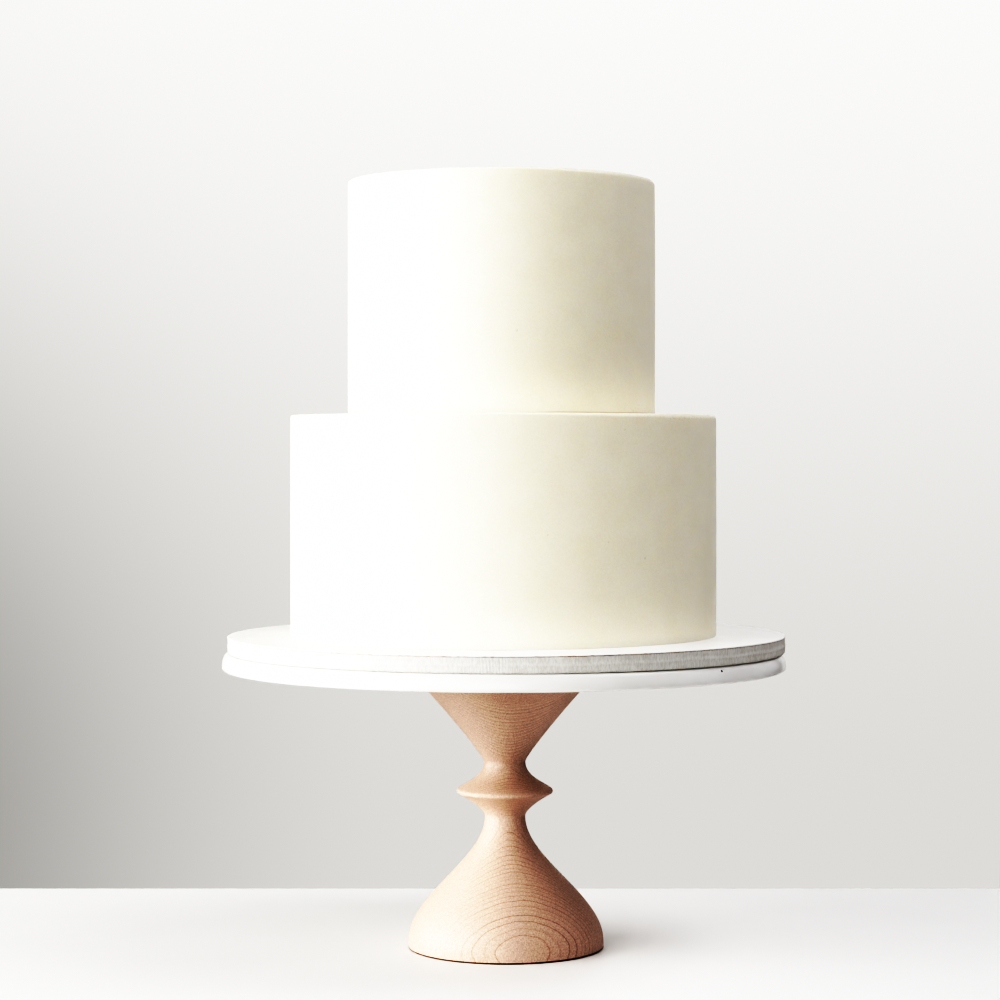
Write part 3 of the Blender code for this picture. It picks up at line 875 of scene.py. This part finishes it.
DAYLIGHT = (1.0, 1.0, 0.98)
ROOM_LIGHT = (1.0, 1.0, 1.0)
SHADE_LIGHT = (1.0, 0.99, 1.02)
LIGHTS = (
    # name, place, point it faces, width and height, power in watts, colour
    ("window", (-1.25, -0.25, 0.45), (0.0, 0.0, 0.18), (1.5, 1.3), 14.3, DAYLIGHT),
    ("window_low", (-1.25, -0.20, 0.15), (0.0, 0.0, 0.15), (1.2, 0.5), 3.9, DAYLIGHT),
    ("window_front", (-1.00, -1.00, 0.55), (0.0, 0.0, 0.18), (1.0, 1.2), 9.2, DAYLIGHT),
    ("room", (0.0, -1.90, 0.90), (0.0, 0.0, 0.18), (1.2, 1.2), 2.0, ROOM_LIGHT),
    ("room_low", (-0.20, -1.90, 0.30), (0.0, 0.0, 0.18), (1.0, 0.6), 3.4, ROOM_LIGHT),
    ("ceiling", (0.0, -0.10, 1.50), (0.0, 0.0, 0.20), (1.1, 1.1), 1.8, ROOM_LIGHT),
    ("ceiling_right", (0.70, -0.10, 1.35), (0.0, 0.0, 0.20), (0.8, 0.8), 5.2, SHADE_LIGHT),
    ("right", (1.30, -0.30, 0.60), (0.0, 0.0, 0.18), (1.0, 1.0), 1.95, SHADE_LIGHT),
    ("right_back", (1.10, 0.90, 0.60), (0.0, 0.0, 0.18), (0.8, 1.0), 0.95, SHADE_LIGHT),
)
WORLD_SEEN = (0.80, 0.80, 0.79, 1.0)
WORLD_LIGHT = (0.092, 0.092, 0.092, 1.0)


def make_lights():
    """A wide window on the left that reaches round to the front, a weak ceiling and a dim room."""
    for settings in LIGHTS:
        area_light(*settings)
    world = bpy.context.scene.world or bpy.data.worlds.new("World")
    bpy.context.scene.world = world
    world.use_nodes = True
    tree = world.node_tree
    tree.nodes.clear()
    seen = node(tree, "ShaderNodeLightPath").outputs["Is Camera Ray"]
    tone = node(tree, "ShaderNodeMix", data_type="RGBA")
    tree.links.new(seen, tone.inputs[0])
    tone.inputs[6].default_value = WORLD_LIGHT
    tone.inputs[7].default_value = WORLD_SEEN
    background = node(tree, "ShaderNodeBackground", {"Color": tone.outputs[2], "Strength": 1.0})
    output = node(tree, "ShaderNodeOutputWorld")
    tree.links.new(background.outputs[0], output.inputs["Surface"])


def make_camera():
    """A level camera at the photograph's distance, height and framing."""
    data = bpy.data.cameras.new("camera")
    data.sensor_width = SENSOR_WIDTH_MM
    data.lens = SENSOR_WIDTH_MM * CAMERA_DISTANCE / (PHOTO_WIDTH_PX * METRES_PER_PX)
    data.shift_y = (HORIZON_PX - PHOTO_WIDTH_PX / 2.0) / PHOTO_WIDTH_PX
    camera = bpy.data.objects.new("camera", data)
    eye_x = (PHOTO_WIDTH_PX / 2.0 - FOOT_CENTRE_PX[0]) * METRES_PER_PX
    eye_z = (FOOT_CENTRE_PX[1] - HORIZON_PX) * METRES_PER_PX
    camera.location = (eye_x, -CAMERA_DISTANCE, eye_z)
    camera.rotation_euler = (math.radians(90.0), 0.0, 0.0)
    bpy.context.scene.collection.objects.link(camera)
    bpy.context.scene.camera = camera


TONE_STEEPNESS = 2.4
TONE_TOE_STEEPNESS = 3.3
TONE_SHADE = 1.785
TONE_PIVOT = 0.60
TONE_STEPS = 20
TONE_FIRST_STEP = 4


def linear(code):
    """The linear value of an sRGB code of 0 to 1."""
    return ((code + 0.055) / 1.055) ** 2.4 if code > 0.04045 else code / 12.92


def printed(code):
    """The printed code of a plain one: an S curve that is steeper below its pivot."""
    pivot = math.log(TONE_PIVOT / (1.0 - TONE_PIVOT))
    odds = math.log(code / (1.0 - code))
    above = TONE_STEEPNESS * max(odds, pivot)
    below = TONE_TOE_STEEPNESS * min(odds - pivot, 0.0)
    return 1.0 / (1.0 + TONE_SHADE * math.exp(-above - below))


def set_tone():
    """Plain display colours through the steep S curve of a high-key print."""
    view = bpy.context.scene.view_settings
    view.view_transform = "Standard"
    view.look = "None"
    view.use_curve_mapping = True
    combined = view.curve_mapping.curves[3]
    for step in range(TONE_FIRST_STEP, TONE_STEPS):
        code = step / TONE_STEPS
        combined.points.new(linear(code), linear(printed(code)))
    view.curve_mapping.update()


def main():
    foot_z, ledge_z = (corner.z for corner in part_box("bottom_tier"))
    lower_icing = icing_material("ivory_icing_lower", specks_z=ledge_z, foot_z=foot_z)
    upper_icing = icing_material("ivory_icing_upper", seam_z=ledge_z)
    make_tier("bottom_tier_icing", "bottom_tier", lower_icing, seed=3, scrape_heights=(0.30, 0.62))
    make_tier("top_tier_icing", "top_tier", upper_icing, seed=5, scrape_heights=(0.775, 0.35))
    board_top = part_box("cake_board")[1].z
    make_board(wrap_material(board_top - BOARD_SHEET_THICKNESS), board_top_material(board_top))
    make_plate()
    make_pedestal(wood_material())
    make_stage()
    make_lights()
    make_camera()
    set_tone()


main()
